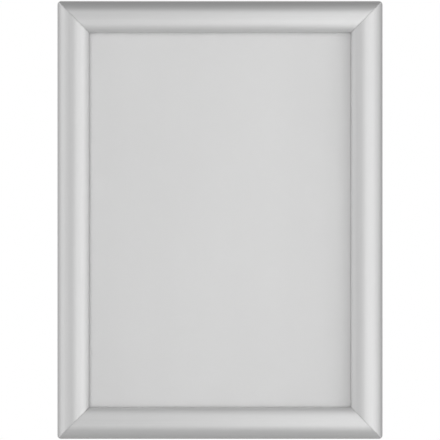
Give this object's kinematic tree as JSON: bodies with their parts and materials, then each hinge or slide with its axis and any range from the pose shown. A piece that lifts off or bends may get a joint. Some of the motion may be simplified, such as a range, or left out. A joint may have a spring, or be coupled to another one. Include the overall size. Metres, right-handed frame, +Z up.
{
  "type": "snap frame",
  "caption": "Wall-mounted A4 portrait poster frame with mitred, domed aluminium cover rails that flip open on their outer edges to change the sheet behind a clear film.",
  "frame": {"origin": "centre of the frame on the wall plane, the plane of the base rails' backs", "axes": "+Z up along the long side, +X to the viewer's right, +Y into the wall; the front faces -Y"},
  "size_m": [0.251, 0.012, 0.338],
  "materials": {
    "satin_aluminium": "satin anodised, silver",
    "mill_aluminium": "satin anodised, silver",
    "zinc_steel": "zinc plated",
    "spring_steel": "bright rolled",
    "grey_panel": "smooth, light grey",
    "clear_film": "clear, anti-glare"
  },
  "bodies": {
    "base": {"base_rail_top": "mill_aluminium", "base_rail_bottom": "mill_aluminium", "base_rail_left": "mill_aluminium", "base_rail_right": "mill_aluminium", "corner_key_top_left": "zinc_steel", "corner_key_top_right": "zinc_steel", "corner_key_bottom_left": "zinc_steel", "corner_key_bottom_right": "zinc_steel", "leaf_spring_top_left": "spring_steel", "leaf_spring_top_right": "spring_steel", "leaf_spring_bottom_left": "spring_steel", "leaf_spring_bottom_right": "spring_steel", "leaf_spring_left_upper": "spring_steel", "leaf_spring_left_lower": "spring_steel", "leaf_spring_right_upper": "spring_steel", "leaf_spring_right_lower": "spring_steel", "back_panel": "grey_panel", "cover_film": "clear_film"},
    "top_cover": {"cover_rail_top": "satin_aluminium"},
    "bottom_cover": {"cover_rail_bottom": "satin_aluminium"},
    "left_cover": {"cover_rail_left": "satin_aluminium"},
    "right_cover": {"cover_rail_right": "satin_aluminium"}
  },
  "joints": [
    {"name": "top_cover_flip", "type": "hinge", "parent": "base", "child": "top_cover", "pos_m": [0, -0.00365, 0.1667], "axis": [-1, 0, 0], "range_deg": [0, 90], "deforming": ["leaf_spring_top_left", "leaf_spring_top_right"]},
    {"name": "bottom_cover_flip", "type": "hinge", "parent": "base", "child": "bottom_cover", "pos_m": [0, -0.00365, -0.1667], "axis": [1, 0, 0], "range_deg": [0, 90], "deforming": ["leaf_spring_bottom_left", "leaf_spring_bottom_right"]},
    {"name": "left_cover_flip", "type": "hinge", "parent": "base", "child": "left_cover", "pos_m": [-0.1232, -0.00365, 0], "axis": [0, 0, -1], "range_deg": [0, 90], "deforming": ["leaf_spring_left_upper", "leaf_spring_left_lower"]},
    {"name": "right_cover_flip", "type": "hinge", "parent": "base", "child": "right_cover", "pos_m": [0.1232, -0.00365, 0], "axis": [0, 0, 1], "range_deg": [0, 90], "deforming": ["leaf_spring_right_upper", "leaf_spring_right_lower"]}
  ]
}
